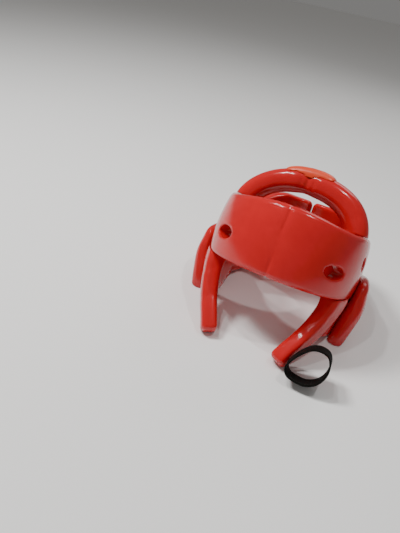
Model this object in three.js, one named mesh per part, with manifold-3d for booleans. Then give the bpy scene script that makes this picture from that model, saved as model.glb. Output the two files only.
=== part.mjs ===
// Taekwondo headgear of dipped foam, in millimetres, +Z up, facing -Y.
// It is built in the wearer's head frame (height 0 is the lower edge of the forehead band, the
// origin is the middle of the head), then leaned back on its jaw arms and ear guards, as it rests
// on a table. Turns are degrees round the head: 0 is the forehead, 90 the wearer's left ear.
import * as THREE from "three";
import { mergeVertices } from "three/addons/utils/BufferGeometryUtils.js";
import Module from "manifold-3d";

const wasm = await Module();
wasm.setup();

// Driving sizes of the head hollow and the foam
const headHalfWidth = 80;
const headHalfLength = 97;
const headSquareness = 2.15;
const foamThickness = 20;
const foamEdgeRadius = 7;
const seamGap = 0.3;

// Forehead band
const bandHeight = 80;
const bandHalfTurn = 104;
const creaseDepth = 1;
const creaseHalfTurn = 5;
const browRise = 1;
const browTopRise = 8;
const browTurn = 62;
const browUnderTurn = 55;
const templeRise = 1;
const templeStartTurn = 30;
const templeEndTurn = 90;

// Vent holes in the band
const ventWidth = 32;
const ventHeight = 16;
const frontVentTurn = 42.5;
const frontVentHeight = 32;
const sideVentTurn = 76;
const sideVentHeight = 50;
const sideVentWidth = 16;

// Crown arch and the pad on it
const archHeight = 138;
const archHalfWidth = 92;
const archThickness = 31;
const archDepth = 33;
const archSetback = 16;
const archDimpleDepth = 2.5;
const archFootDepth = 16;
const archRoundness = 0.93;
const archSides = 14;
const archSquareness = 0.85;
const padWidth = 66;
const padThickness = 17;
const padRise = 7;
const padLength = 64;
const padBend = 5;
const padSides = 16;
const padSquareness = 0.42;
const padOverhang = 0.34;
const padTaper = 0.12;
const padFrontFall = 0.2;
const padFrontCurve = 4;
const padRearFall = 1.05;
const padRearCurve = 2.4;

// Rear halves
const wingTopHeight = 106;
const wingRimRadius = 13;
const wingRearDrop = 0;
const wingSideDrop = 30;
const cleftWidth = 1.2;
const wingBottomRunIn = 8;
const wingBottomEndTurn = 165;
const wingTopEndTurn = 150;
const wingRimRunIn = 4;
const wingRimFullTurn = 135;
const wingRimFrom = 0.72;
const wingRimTo = 0.84;

// Side panels and jaw arms
const panelDrop = 56;
const panelFrontTurn = 64;
const panelRearTurn = 118;
const panelExtraPadding = 14;
const panelFrontLift = 0.75;
const panelRearLift = 0.55;
const panelRunIn = 8;
const panelRearRunIn = 6;
const panelOverlapTurn = 20;
const armWidth = 20;
const armThickness = 20;
const armTipHalfWidth = 44.5;
const armTipForward = 89;
const armTipDrop = 91;
const armTwist = 25;
const armSides = 12;
const armSquareness = 0.6;
const armFootShare = 0.3;

// Ear guards
const guardThickness = 20;
const guardDome = 3;
const guardFrontTurn = 82;
const guardRearTurn = 127;
const guardTopHeight = 33;
const guardFrontDrop = 63;
const guardCornerTurn = 19;
const guardHeelTurn = 7;
const guardHeelRise = 2.2;
const guardCornerFall = 0.62;
const guardEdgeRadius = 9;
const earHoleWidth = 24;
const earHoleHeight = 30;
const earHoleTurn = 95;
const earHoleDrop = 22;

// Webbing
const strapWidth = 25;
const strapThickness = 2.4;
const loopWidth = 45;
const loopHeight = 44;
const loopSteps = 40;
const loopLeanShare = 0.05;
const loopAside = 0.7;
const loopAhead = 0.5;
const closureWidth = 40;
const closureThickness = 3;
const closureHeight = 42;
const closureHalfTurn = 30;

// Girth of the head form by height: heights as shares of the band's height, girths as shares
// of the head's half width and half length
const girthSections = [
  { height: -0.9, girth: 0.84 },
  { height: -0.375, girth: 0.91 },
  { height: 0, girth: 0.97 },
  { height: 0.35, girth: 1 },
  { height: 0.75, girth: 0.975 },
  { height: 1, girth: 0.925 },
  { height: 1.25, girth: 0.83 },
  { height: 1.5, girth: 0.68 },
];

// Jaw arm's sections: width as a share of the head's half width, forward as a share of the head's
// half length, drop as a share of the tip's drop, and its own width and thickness as shares. It is
// flared where it grows out of the band's underside
const armSections = [
  { width: 0.93, forward: 0.4, drop: -0.12, wide: 1.75, deep: 1.8 },
  { width: 0.985, forward: 0.45, drop: 0.03, wide: 1.4, deep: 1.7 },
  { width: 0.965, forward: 0.53, drop: 0.2, wide: 1.2, deep: 1.55 },
  { width: 0.89, forward: 0.635, drop: 0.42, wide: 1.12, deep: 1.4 },
  { width: 0.775, forward: 0.75, drop: 0.64, wide: 1.08, deep: 1.28 },
  { width: 0.65, forward: 0.845, drop: 0.84, wide: 1.05, deep: 1.2 },
];
const armTip = { wide: 1.05, deep: 1.15 };

// Webbing loop's middle line: shares of its width and height from its lowest inner corner
const loopSections = [
  { across: 0, up: 0.26 },
  { across: 0.1, up: 0.52 },
  { across: 0.26, up: 0.76 },
  { across: 0.45, up: 0.94 },
  { across: 0.68, up: 1 },
  { across: 0.89, up: 0.93 },
  { across: 0.99, up: 0.7 },
  { across: 0.98, up: 0.42 },
  { across: 0.84, up: 0.16 },
  { across: 0.6, up: 0.01 },
  { across: 0.33, up: 0 },
  { across: 0.1, up: 0.07 },
];

const degrees = Math.PI / 180;

// Value of a named column at a place in a table, along a smooth curve through the rows
function tableValue(rows, key, column, place) {
  const points = rows.map((row) => new THREE.Vector2(row[key], row[column]));
  if (place <= points[0].x) return points[0].y;
  const last = points.length - 1;
  if (place >= points[last].x) return points[last].y;
  let row = 0;
  while (place > points[row + 1].x) row += 1;
  const slope = (index) => {
    const before = points[Math.max(index - 1, 0)];
    const after = points[Math.min(index + 1, last)];
    return (after.y - before.y) / (after.x - before.x);
  };
  const span = points[row + 1].x - points[row].x;
  const share = (place - points[row].x) / span;
  const square = share * share;
  const cube = square * share;
  const start = (2 * cube - 3 * square + 1) * points[row].y + (3 * square - 2 * cube) * points[row + 1].y;
  const bend = (cube - 2 * square + share) * slope(row) + (cube - square) * slope(row + 1);
  return start + bend * span;
}

function smoothStep(from, to, value) {
  const share = Math.min(Math.max((value - from) / (to - from), 0), 1);
  return share * share * (3 - 2 * share);
}

// Point at a turn and height, a distance outside the head form
function wallPoint(turn, height, outside) {
  const girth = tableValue(girthSections, "height", "girth", height / bandHeight);
  const squareness = 2 / headSquareness;
  const sine = Math.sin(turn * degrees);
  const cosine = Math.cos(turn * degrees);
  const across = Math.sign(sine) * Math.abs(sine) ** squareness;
  const ahead = Math.sign(cosine) * Math.abs(cosine) ** squareness;
  return new THREE.Vector3(
    (headHalfWidth * girth + outside) * across,
    -(headHalfLength * girth + outside) * ahead,
    height,
  );
}

// Closed body through rings of equal point counts, with flat ends
function ringSolid(rings) {
  const count = rings[0].length;
  const positions = [];
  const indices = [];
  for (const ring of rings) {
    for (const point of ring) positions.push(point.x, point.y, point.z);
  }
  for (let row = 0; row < rings.length - 1; row += 1) {
    for (let step = 0; step < count; step += 1) {
      const here = row * count + step;
      const next = row * count + ((step + 1) % count);
      indices.push(here, next, next + count, here, next + count, here + count);
    }
  }
  for (const [row, reversed] of [[0, true], [rings.length - 1, false]]) {
    const middle = new THREE.Vector3();
    for (const point of rings[row]) middle.addScaledVector(point, 1 / count);
    const hub = positions.length / 3;
    positions.push(middle.x, middle.y, middle.z);
    for (let step = 0; step < count; step += 1) {
      const here = row * count + step;
      const next = row * count + ((step + 1) % count);
      if (reversed) indices.push(hub, next, here);
      else indices.push(hub, here, next);
    }
  }
  const geometry = new THREE.BufferGeometry();
  geometry.setAttribute("position", new THREE.Float32BufferAttribute(positions, 3));
  geometry.setIndex(indices);
  return outward(geometry);
}

// The same geometry with its faces pointing out
function outward(geometry) {
  const position = geometry.attributes.position;
  const index = geometry.index.array;
  const corners = [new THREE.Vector3(), new THREE.Vector3(), new THREE.Vector3()];
  let volume = 0;
  for (let start = 0; start < index.length; start += 3) {
    corners.forEach((corner, side) => corner.fromBufferAttribute(position, index[start + side]));
    volume += corners[0].dot(corners[1].cross(corners[2]));
  }
  if (volume < 0) geometry.setIndex(Array.from(index).reverse());
  return geometry;
}

// Section of a foam wall as pairs of (share outside, share up) with rounded corners
function wallSection(thickness, height, radius, sideSteps) {
  const cornerSteps = 3;
  const round = Math.min(radius, thickness / 2.05, height / 2.05);
  const points = [];
  const corners = [
    { outside: thickness - round, up: round, from: -90 },
    { outside: thickness - round, up: height - round, from: 0 },
    { outside: round, up: height - round, from: 90 },
    { outside: round, up: round, from: 180 },
  ];
  corners.forEach((corner, side) => {
    for (let step = 0; step <= cornerSteps; step += 1) {
      const angle = (corner.from + (90 * step) / cornerSteps) * degrees;
      points.push({
        outside: corner.outside + round * Math.cos(angle),
        up: corner.up + round * Math.sin(angle),
      });
    }
    if (side % 2 === 0) {
      const inner = height - 2 * round;
      for (let step = 1; step < sideSteps; step += 1) {
        const share = (inner * step) / sideSteps;
        const up = side === 0 ? round + share : height - round - share;
        points.push({ outside: side === 0 ? thickness : 0, up });
      }
    }
  });
  return points;
}

// Foam wall round a stretch of the head; every argument that is a function takes the turn
function foamWall({ from, to, steps, bottom, top, inner, thickness, radius, bulge, sideSteps = 4 }) {
  const endSteps = 3;
  const reach = radius / (headHalfLength * degrees);
  const rows = [];
  for (let step = 0; step <= endSteps; step += 1) {
    const angle = (90 * step * degrees) / endSteps;
    rows.push({ turn: from + reach * (1 - Math.cos(angle)), inset: radius * (1 - Math.sin(angle)) });
  }
  for (let step = 1; step < steps; step += 1) {
    rows.push({ turn: from + reach + ((to - from - 2 * reach) * step) / steps, inset: 0 });
  }
  for (let step = endSteps; step >= 0; step -= 1) {
    const angle = (90 * step * degrees) / endSteps;
    rows.push({ turn: to - reach * (1 - Math.cos(angle)), inset: radius * (1 - Math.sin(angle)) });
  }
  const rings = rows.map(({ turn, inset }) => {
    const low = bottom(turn) + inset;
    const high = top(turn) - inset;
    const depth = thickness(turn) - 2 * inset;
    const start = inner(turn) + inset;
    return wallSection(depth, high - low, radius - inset * 0.7, sideSteps).map((point) => {
      const share = point.up / (high - low);
      const swell = bulge ? bulge(turn, share, point.outside / depth) : 0;
      return wallPoint(turn, low + point.up, start + point.outside + swell);
    });
  });
  return ringSolid(rings);
}

// Rounded bar along a line of points; each row has a middle, an across and a through direction
function barSolid(rows, sides, squareness, endRadius) {
  const section = (row, inset) => {
    const ring = [];
    for (let side = 0; side < sides; side += 1) {
      const angle = (360 * side * degrees) / sides;
      const across = Math.sign(Math.cos(angle)) * Math.abs(Math.cos(angle)) ** squareness;
      const through = Math.sign(Math.sin(angle)) * Math.abs(Math.sin(angle)) ** squareness;
      ring.push(
        row.middle.clone()
          .addScaledVector(row.across, across * (row.width / 2 - inset))
          .addScaledVector(row.through, through * (row.thickness / 2 - inset)),
      );
    }
    return ring;
  };
  const rings = [];
  const addEnd = (row, along, angles) => {
    for (const angle of angles) {
      const ahead = endRadius * (1 - Math.sin(angle * degrees));
      const inset = endRadius * (1 - Math.cos(angle * degrees));
      const moved = { ...row, middle: row.middle.clone().addScaledVector(along, ahead) };
      rings.push(section(moved, inset));
    }
  };
  const last = rows.length - 1;
  const headway = rows[1].middle.clone().sub(rows[0].middle).normalize();
  const tailway = rows[last - 1].middle.clone().sub(rows[last].middle).normalize();
  addEnd(rows[0], headway, [90, 45, 0]);
  for (let row = 1; row < last; row += 1) rings.push(section(rows[row], 0));
  addEnd(rows[last], tailway, [0, 45, 90]);
  return ringSolid(rings);
}

function toManifold(geometry) {
  const bare = new THREE.BufferGeometry();
  bare.setAttribute("position", geometry.attributes.position.clone());
  if (geometry.index) bare.setIndex(geometry.index.clone());
  const merged = mergeVertices(bare, 1e-4);
  return new wasm.Manifold(new wasm.Mesh({
    numProp: 3,
    vertProperties: new Float32Array(merged.attributes.position.array),
    triVerts: new Uint32Array(merged.index.array),
  }));
}

function toGeometry(solid) {
  const mesh = solid.getMesh();
  const geometry = new THREE.BufferGeometry();
  geometry.setAttribute("position", new THREE.BufferAttribute(mesh.vertProperties.slice(), 3));
  geometry.setIndex(new THREE.BufferAttribute(mesh.triVerts.slice(), 1));
  return geometry;
}

// Oval prism that cuts a hole straight through the wall at a turn and height
function ovalCutter(turn, height, width, tall) {
  const outline = new THREE.Shape();
  outline.absellipse(0, 0, width / 2, tall / 2, 0, 2 * Math.PI);
  const length = 4 * foamThickness;
  const prism = new THREE.ExtrudeGeometry(outline, { depth: length, bevelEnabled: false, curveSegments: 8 });
  prism.translate(0, 0, -length / 2);
  const here = wallPoint(turn, height, foamThickness);
  const inside = wallPoint(turn, height, 0);
  const ahead = wallPoint(turn + 1, height, foamThickness).sub(wallPoint(turn - 1, height, foamThickness));
  const right = ahead.normalize();
  const out = new THREE.Vector3().crossVectors(right, new THREE.Vector3(0, 0, 1)).normalize();
  const up = new THREE.Vector3().crossVectors(out, right);
  const middle = here.add(inside).multiplyScalar(0.5);
  prism.applyMatrix4(new THREE.Matrix4().makeBasis(right, up, out).setPosition(middle));
  return toManifold(prism);
}

// The plane that the headgear rests on, in the head frame, through the arm tips and the guards
const guardFront = wallPoint(guardFrontTurn, -guardFrontDrop, foamThickness).y;
const armFoot = -armTipDrop - armWidth * armFootShare;
const restLean = Math.atan2(-guardFrontDrop - armFoot, guardFront + armTipForward);

// Point given by its place across, back along the rest plane and up from it
function fromRest(across, back, up) {
  return new THREE.Vector3(
    across,
    -armTipForward + back * Math.cos(restLean) - up * Math.sin(restLean),
    armFoot + back * Math.sin(restLean) + up * Math.cos(restLean),
  );
}

function restHeightAt(back) {
  return armFoot + (back + armTipForward) * Math.tan(restLean);
}

// Block below the rest plane
function belowRest() {
  const size = 6 * headHalfLength;
  const block = new THREE.BoxGeometry(size, size, size);
  block.rotateX(restLean);
  const centre = fromRest(0, armTipForward, -size / 2);
  block.translate(centre.x, centre.y, centre.z);
  return toManifold(block);
}

function bandTop(turn) {
  const temple = templeRise * smoothStep(templeStartTurn, templeEndTurn, Math.abs(turn));
  return bandHeight + temple + browTopRise * (1 - smoothStep(0, browTurn, Math.abs(turn)));
}

// The lower edge rises a little over the brow
function bandBottom(turn) {
  return browRise * (1 - smoothStep(0, browUnderTurn, Math.abs(turn)));
}

function bandWall(margin) {
  return foamWall({
    from: -bandHalfTurn - margin,
    to: bandHalfTurn + margin,
    steps: 32,
    bottom: (turn) => bandBottom(turn) - margin,
    top: (turn) => bandTop(turn) + margin,
    inner: () => -margin,
    thickness: () => foamThickness + 2 * margin,
    radius: foamEdgeRadius,
    bulge: (turn, share, depth) => {
      const crease = creaseDepth * (1 - smoothStep(0, creaseHalfTurn, Math.abs(turn)));
      return margin > 0 ? 0 : -crease * depth;
    },
    sideSteps: 4,
  });
}

function foreheadBand() {
  let band = toManifold(bandWall(0));
  for (const side of [-1, 1]) {
    band = band.subtract(ovalCutter(side * frontVentTurn, frontVentHeight, ventWidth, ventHeight));
    band = band.subtract(ovalCutter(side * sideVentTurn, sideVentHeight, sideVentWidth, ventHeight));
  }
  return toGeometry(band);
}

// The arch's bar, from the top of one temple over the crown to the other
function archBar(margin) {
  const steps = 26;
  const base = bandHeight - archFootDepth;
  const halfWidth = archHalfWidth - archThickness / 2;
  const rise = archHeight - archThickness / 2 - base;
  const middleAt = (angle) => new THREE.Vector3(
    -halfWidth * Math.sign(Math.cos(angle)) * Math.abs(Math.cos(angle)) ** archRoundness,
    -archSetback,
    base + rise * Math.abs(Math.sin(angle)) ** archRoundness,
  );
  const rows = [];
  for (let step = 0; step <= steps; step += 1) {
    const angle = (Math.PI * step) / steps;
    const middle = middleAt(angle);
    const ahead = middleAt(angle + 0.01).sub(middleAt(angle - 0.01)).normalize();
    const through = new THREE.Vector3(0, 1, 0);
    const across = new THREE.Vector3().crossVectors(ahead, through).normalize();
    const dimple = archDimpleDepth * Math.exp(-((middle.x / (archThickness / 3)) ** 2));
    rows.push({
      middle,
      across,
      through,
      width: archThickness - dimple + 2 * margin,
      thickness: archDepth - 2 * dimple + 2 * margin,
    });
  }
  return toManifold(barSolid(rows, archSides, archSquareness, foamEdgeRadius));
}

function crownArch() {
  return toGeometry(archBar(0).subtract(toManifold(bandWall(seamGap))));
}

// The pad lies over the arch's middle and reaches back over the crown
function crownPad() {
  const steps = 10;
  const rows = [];
  for (let step = 0; step <= steps; step += 1) {
    const share = step / steps;
    const back = -archSetback - archDepth * padOverhang + padLength * share;
    const front = padFrontFall * (1 - share) ** padFrontCurve;
    const fall = padThickness * (front + padRearFall * share ** padRearCurve);
    rows.push({
      middle: new THREE.Vector3(0, back, archHeight + padRise - padThickness / 2 - fall),
      across: new THREE.Vector3(1, 0, 0),
      through: new THREE.Vector3(0, 0, 1),
      width: padWidth * (1 - padTaper * share ** 3),
      thickness: padThickness,
    });
  }
  const bar = barSolid(rows, padSides, padSquareness, foamEdgeRadius);
  const position = bar.attributes.position;
  for (let index = 0; index < position.count; index += 1) {
    const share = position.getX(index) / (padWidth / 2);
    position.setZ(index, position.getZ(index) - padBend * share * share);
  }
  const slab = toManifold(bar);
  return toGeometry(slab.subtract(archBar(seamGap)));
}

function wingBottom(turn) {
  const share = smoothStep(bandHalfTurn + wingBottomRunIn, wingBottomEndTurn, Math.abs(turn));
  return -wingSideDrop + (wingSideDrop - wingRearDrop) * share;
}

function wingTop(turn) {
  const share = smoothStep(bandHalfTurn, wingTopEndTurn, Math.abs(turn));
  return bandTop(bandHalfTurn) + (wingTopHeight - bandTop(bandHalfTurn)) * share;
}

// Rear half: a foam wall whose top edge is rolled into a thicker rim
function backWing(side) {
  const cleftHalfTurn = cleftWidth / 2 / (headHalfLength * degrees);
  const seamTurn = seamGap / (headHalfLength * degrees);
  const near = bandHalfTurn + seamTurn;
  const far = 180 - cleftHalfTurn;
  return foamWall({
    from: side > 0 ? near : -far,
    to: side > 0 ? far : -near,
    steps: 12,
    bottom: wingBottom,
    top: wingTop,
    inner: () => 0,
    thickness: () => foamThickness,
    radius: foamEdgeRadius,
    bulge: (turn, share, depth) => {
      const grow = smoothStep(bandHalfTurn + wingRimRunIn, wingRimFullTurn, Math.abs(turn));
      const rim = (2 * wingRimRadius - foamThickness) * grow;
      return rim * smoothStep(wingRimFrom, wingRimTo, share) * (depth - 0.5);
    },
    sideSteps: 6,
  });
}

function armBar(side, margin) {
  const places = armSections.map((row) => new THREE.Vector3(
    side * headHalfWidth * row.width,
    -headHalfLength * row.forward,
    -armTipDrop * row.drop,
  ));
  places.push(new THREE.Vector3(side * armTipHalfWidth, -armTipForward, -armTipDrop));
  const line = new THREE.CatmullRomCurve3(places);
  const sections = [...armSections, { drop: 1, ...armTip }];
  const steps = 14;
  const rows = [];
  for (let step = 0; step <= steps; step += 1) {
    const share = step / steps;
    const ahead = line.getTangentAt(share);
    const across = new THREE.Vector3().crossVectors(ahead, new THREE.Vector3(0, 1, 0)).normalize();
    const through = new THREE.Vector3().crossVectors(across, ahead).normalize();
    const middle = line.getPointAt(share);
    const drop = -middle.z / armTipDrop;
    across.applyAxisAngle(ahead, side * armTwist * degrees);
    through.applyAxisAngle(ahead, side * armTwist * degrees);
    rows.push({
      middle,
      across,
      through,
      width: armWidth * tableValue(sections, "drop", "wide", drop) + 2 * margin,
      thickness: armThickness * tableValue(sections, "drop", "deep", drop) + 2 * margin,
    });
  }
  return toManifold(barSolid(rows, armSides, armSquareness, foamEdgeRadius / 2));
}

function sidePanel(side) {
  const frontBottom = (turn) => {
    const spread = Math.abs(turn) - panelFrontTurn;
    const lift = panelFrontLift * (1 - smoothStep(0, guardFrontTurn - panelFrontTurn, spread)) ** 2;
    const rear = panelRearLift * smoothStep(guardFrontTurn + panelRearRunIn, panelRearTurn, Math.abs(turn));
    return panelDrop * (lift + rear - 1);
  };
  const padding = (turn) => {
    const share = smoothStep(panelFrontTurn, guardFrontTurn + panelRunIn, Math.abs(turn));
    return panelExtraPadding * share;
  };
  return toManifold(foamWall({
    from: side > 0 ? panelFrontTurn : -panelRearTurn,
    to: side > 0 ? panelRearTurn : -panelFrontTurn,
    steps: 12,
    bottom: frontBottom,
    top: () => -seamGap,
    inner: () => 0,
    thickness: () => foamThickness,
    radius: foamEdgeRadius,
    bulge: (turn, share, depth) => -padding(turn) * smoothStep(0, 1, share) * (1 - depth),
  }));
}

// Side panel under the band with the jaw arm grown from its front
function cheekGuard(side) {
  const arm = armBar(side, 0);
  let guard = sidePanel(side).add(arm);
  guard = guard.subtract(toManifold(bandWall(seamGap)));
  guard = guard.subtract(toManifold(wingShape(side, seamGap)));
  guard = guard.subtract(earHole(side));
  return toGeometry(guard.subtract(belowRest()));
}

// The wing's outline with a margin, which the side panel is cut to
function wingShape(side, margin) {
  const near = bandHalfTurn - margin;
  const far = panelRearTurn + panelOverlapTurn;
  return foamWall({
    from: side > 0 ? near : -far,
    to: side > 0 ? far : -near,
    steps: 8,
    bottom: (turn) => wingBottom(turn) - margin,
    top: wingTop,
    inner: () => -foamThickness,
    thickness: () => 3 * foamThickness,
    radius: foamEdgeRadius,
  });
}

// Oval hole straight across, through the plate and the side panel
function earHole(side) {
  const outline = new THREE.Shape();
  outline.absellipse(0, 0, earHoleWidth / 2, earHoleHeight / 2, 0, 2 * Math.PI);
  const length = 5 * foamThickness;
  const prism = new THREE.ExtrudeGeometry(outline, { depth: length, bevelEnabled: false, curveSegments: 8 });
  prism.rotateY(Math.PI / 2);
  prism.rotateX(Math.PI / 2);
  const place = wallPoint(side * earHoleTurn, -earHoleDrop, foamThickness);
  prism.translate(place.x - length / 2, place.y, place.z);
  return toManifold(prism);
}

// Thick plate over the ear with a squared rim, rounded upper corners and a flat bottom
function earGuard(side) {
  const corner = (turn) => {
    const front = 1 - Math.min((Math.abs(turn) - guardFrontTurn) / guardCornerTurn, 1);
    const rear = 1 - Math.min((guardRearTurn - Math.abs(turn)) / guardCornerTurn, 1);
    const nearest = Math.max(front, rear, 0);
    return 1 - Math.sqrt(1 - Math.min(nearest, 1) ** 2);
  };
  const heel = (turn) => {
    const share = Math.max(1 - (Math.abs(turn) - guardFrontTurn) / guardHeelTurn, 0);
    return 1 - Math.sqrt(1 - Math.min(share, 1) ** 2);
  };
  const lowest = (turn) => restHeightAt(wallPoint(turn, -guardFrontDrop, foamThickness).y) - guardEdgeRadius;
  const plate = foamWall({
    from: side > 0 ? guardFrontTurn : -guardRearTurn,
    to: side > 0 ? guardRearTurn : -guardFrontTurn,
    steps: 11,
    bottom: (turn) => lowest(turn) + guardEdgeRadius * guardHeelRise * heel(turn),
    top: (turn) => guardTopHeight - guardTopHeight * guardCornerFall * corner(turn),
    inner: () => foamThickness + seamGap,
    thickness: () => guardThickness,
    radius: guardEdgeRadius,
    bulge: (turn, share, depth) => guardDome * depth * Math.sin(Math.PI * Math.min(Math.max(share, 0), 1)),
    sideSteps: 4,
  });
  let guard = toManifold(plate).subtract(earHole(side)).subtract(belowRest());
  guard = guard.subtract(toManifold(bandWall(seamGap)));
  return toGeometry(guard);
}

// Flat strip along a closed line of points, its width along one direction
function stripLoop(points, widthway, width, thickness) {
  const count = points.length;
  const rows = points.map((point, index) => {
    const before = points[(index + count - 1) % count];
    const after = points[(index + 1) % count];
    const ahead = after.clone().sub(before).normalize();
    const through = new THREE.Vector3().crossVectors(ahead, widthway).normalize();
    return [[1, 1], [1, -1], [-1, -1], [-1, 1]].map(([along, out]) => point.clone()
      .addScaledVector(widthway, (along * width) / 2)
      .addScaledVector(through, (out * thickness) / 2));
  });
  const positions = [];
  const indices = [];
  for (const ring of rows) for (const point of ring) positions.push(point.x, point.y, point.z);
  for (let row = 0; row < count; row += 1) {
    for (let step = 0; step < 4; step += 1) {
      const here = row * 4 + step;
      const next = row * 4 + ((step + 1) % 4);
      const over = ((row + 1) % count) * 4;
      indices.push(here, next, over + ((step + 1) % 4), here, over + ((step + 1) % 4), over + step);
    }
  }
  const geometry = new THREE.BufferGeometry();
  geometry.setAttribute("position", new THREE.Float32BufferAttribute(positions, 3));
  geometry.setIndex(indices);
  return outward(geometry);
}

// The webbing loop: one side lies against the wearer's left jaw arm, the other stands free. Its
// plane leans with the head, and its lowest stretch comes down to the rest plane
function chinStrap() {
  const lean = restLean * loopLeanShare;
  const up = new THREE.Vector3(0, -Math.sin(lean), Math.cos(lean));
  const widthway = new THREE.Vector3(0, Math.cos(lean), Math.sin(lean));
  const footLift = (Math.sin(restLean - lean) * strapWidth) / 2 + strapThickness / 2 + 4 * seamGap;
  const corner = fromRest(armTipHalfWidth + armWidth * loopAside, -strapWidth * loopAhead, footLift);
  const line = new THREE.CatmullRomCurve3(
    loopSections.map((place) => corner.clone()
      .add(new THREE.Vector3(loopWidth * place.across, 0, 0))
      .addScaledVector(up, loopHeight * place.up)),
    true,
  );
  const points = line.getSpacedPoints(loopSteps).slice(0, loopSteps);
  const loop = toManifold(stripLoop(points, widthway, strapWidth, strapThickness));
  return toGeometry(loop.subtract(armBar(1, seamGap)));
}

// Plain band that closes the rear over the cleft and follows the wings' bend
function backStrap() {
  return foamWall({
    from: 180 - closureHalfTurn,
    to: 180 + closureHalfTurn,
    steps: 14,
    bottom: () => closureHeight - closureWidth / 2,
    top: () => closureHeight + closureWidth / 2,
    inner: () => foamThickness + 2 * seamGap,
    thickness: () => closureThickness,
    radius: closureThickness / 3,
  });
}

const foamRed = { color: 0xc42c24, roughness: 0.28, metalness: 0 };
const padRed = { color: 0xd2482c, roughness: 0.24, metalness: 0 };
const webbingBlack = { color: 0x16150f, roughness: 0.85, metalness: 0 };

const headgear = new THREE.Group();

function addPiece(name, geometry, finish) {
  const mesh = new THREE.Mesh(geometry, new THREE.MeshStandardMaterial(finish));
  mesh.name = name;
  headgear.add(mesh);
}

addPiece("forehead_band", foreheadBand(), foamRed);
addPiece("crown_arch", crownArch(), foamRed);
addPiece("crown_pad", crownPad(), padRed);
for (const [name, side] of [["left", 1], ["right", -1]]) {
  addPiece(`back_wing_${name}`, backWing(side), foamRed);
  addPiece(`cheek_guard_${name}`, cheekGuard(side), foamRed);
  addPiece(`ear_guard_${name}`, earGuard(side), foamRed);
}
addPiece("chin_strap", chinStrap(), webbingBlack);
addPiece("back_strap", backStrap(), webbingBlack);

// Leaned back onto the rest plane, with the origin under the middle of the whole
headgear.rotation.x = -restLean;
headgear.updateMatrixWorld(true);
const bounds = new THREE.Box3().setFromObject(headgear, true);
const middle = bounds.getCenter(new THREE.Vector3());
headgear.position.set(-middle.x, -middle.y, -bounds.min.z);

export default headgear;
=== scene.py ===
"""Looks of a taekwondo headgear: dipped foam pieces, a webbing chin strap loop and a rear band.

The shapes are worked out in the wearer's head frame in millimetres (height 0 is the lower edge of
the forehead band), leaned back onto the rest plane and written to the meshes in metres.
"""
from __future__ import annotations

import logging
import math
from dataclasses import dataclass, field
from enum import Enum
from typing import Callable, Sequence

import bmesh
import bpy
import numpy as np
from mathutils import Matrix, Quaternion, Vector


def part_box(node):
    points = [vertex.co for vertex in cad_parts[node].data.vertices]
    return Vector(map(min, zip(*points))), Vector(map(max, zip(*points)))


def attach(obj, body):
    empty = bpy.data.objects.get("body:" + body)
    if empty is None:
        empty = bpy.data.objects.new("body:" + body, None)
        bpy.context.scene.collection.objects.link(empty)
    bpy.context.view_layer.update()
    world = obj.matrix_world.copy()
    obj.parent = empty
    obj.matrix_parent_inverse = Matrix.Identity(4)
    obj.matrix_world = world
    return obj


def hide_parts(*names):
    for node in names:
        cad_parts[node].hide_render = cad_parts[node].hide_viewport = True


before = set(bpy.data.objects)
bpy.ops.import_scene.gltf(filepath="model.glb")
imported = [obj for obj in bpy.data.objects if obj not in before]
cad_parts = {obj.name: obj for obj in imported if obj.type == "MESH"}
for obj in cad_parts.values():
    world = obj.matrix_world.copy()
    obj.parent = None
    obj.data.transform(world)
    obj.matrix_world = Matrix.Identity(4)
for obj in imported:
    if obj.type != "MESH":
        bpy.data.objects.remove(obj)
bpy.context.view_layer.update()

LOG = logging.getLogger("headgear")
MM = 0.001
ROOT_BODY = "root"

# Steps round each quarter of a rounded corner
CORNER_STEPS = 5
# A corner's radius stays a little under half of the wall, so that opposite corners don't meet
ROUND_LIMIT = 2.05

Turnwise = Callable[[float], float]


def hex_to_linear(code: str) -> tuple[float, float, float, float]:
    """Turns an sRGB hex colour into linear red, green, blue and alpha.

    Args:
        code: Colour such as "#C3241E".

    Returns:
        Four linear channels, alpha 1.
    """
    channels = [int(code[place:place + 2], 16) / 255 for place in (1, 3, 5)]
    linear = [c / 12.92 if c <= 0.04045 else ((c + 0.055) / 1.055) ** 2.4 for c in channels]
    return (*linear, 1.0)


def smooth_step(start: float, end: float, value: float | np.ndarray) -> float | np.ndarray:
    """Eases from 0 at start to 1 at end, for one value or an array of them.

    Args:
        start: Value where the step begins.
        end: Value where it is complete.
        value: Value to place on it.

    Returns:
        Share from 0 to 1.
    """
    share = np.clip((value - start) / (end - start), 0.0, 1.0)
    return share * share * (3 - 2 * share)


def smooth_table(places: Sequence[float], values: Sequence[float], at: np.ndarray | float) -> np.ndarray:
    """Values along a smooth curve through a table's rows.

    Args:
        places: Rising places of the rows.
        values: Value of each row.
        at: Places wanted, held at the table's ends.

    Returns:
        Values at those places.
    """
    rows = np.array(places)
    known = np.array(values)
    last = len(rows) - 1
    place = np.clip(at, rows[0], rows[-1])
    row = np.clip(np.searchsorted(rows, place, side="left") - 1, 0, last - 1)
    before = np.maximum(np.arange(last + 1) - 1, 0)
    after = np.minimum(np.arange(last + 1) + 1, last)
    slope = (known[after] - known[before]) / (rows[after] - rows[before])
    span = rows[row + 1] - rows[row]
    share = (place - rows[row]) / span
    square = share ** 2
    cube = share ** 3
    ends = (2 * cube - 3 * square + 1) * known[row] + (3 * square - 2 * cube) * known[row + 1]
    return ends + ((cube - 2 * square + share) * slope[row] + (cube - square) * slope[row + 1]) * span


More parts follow.
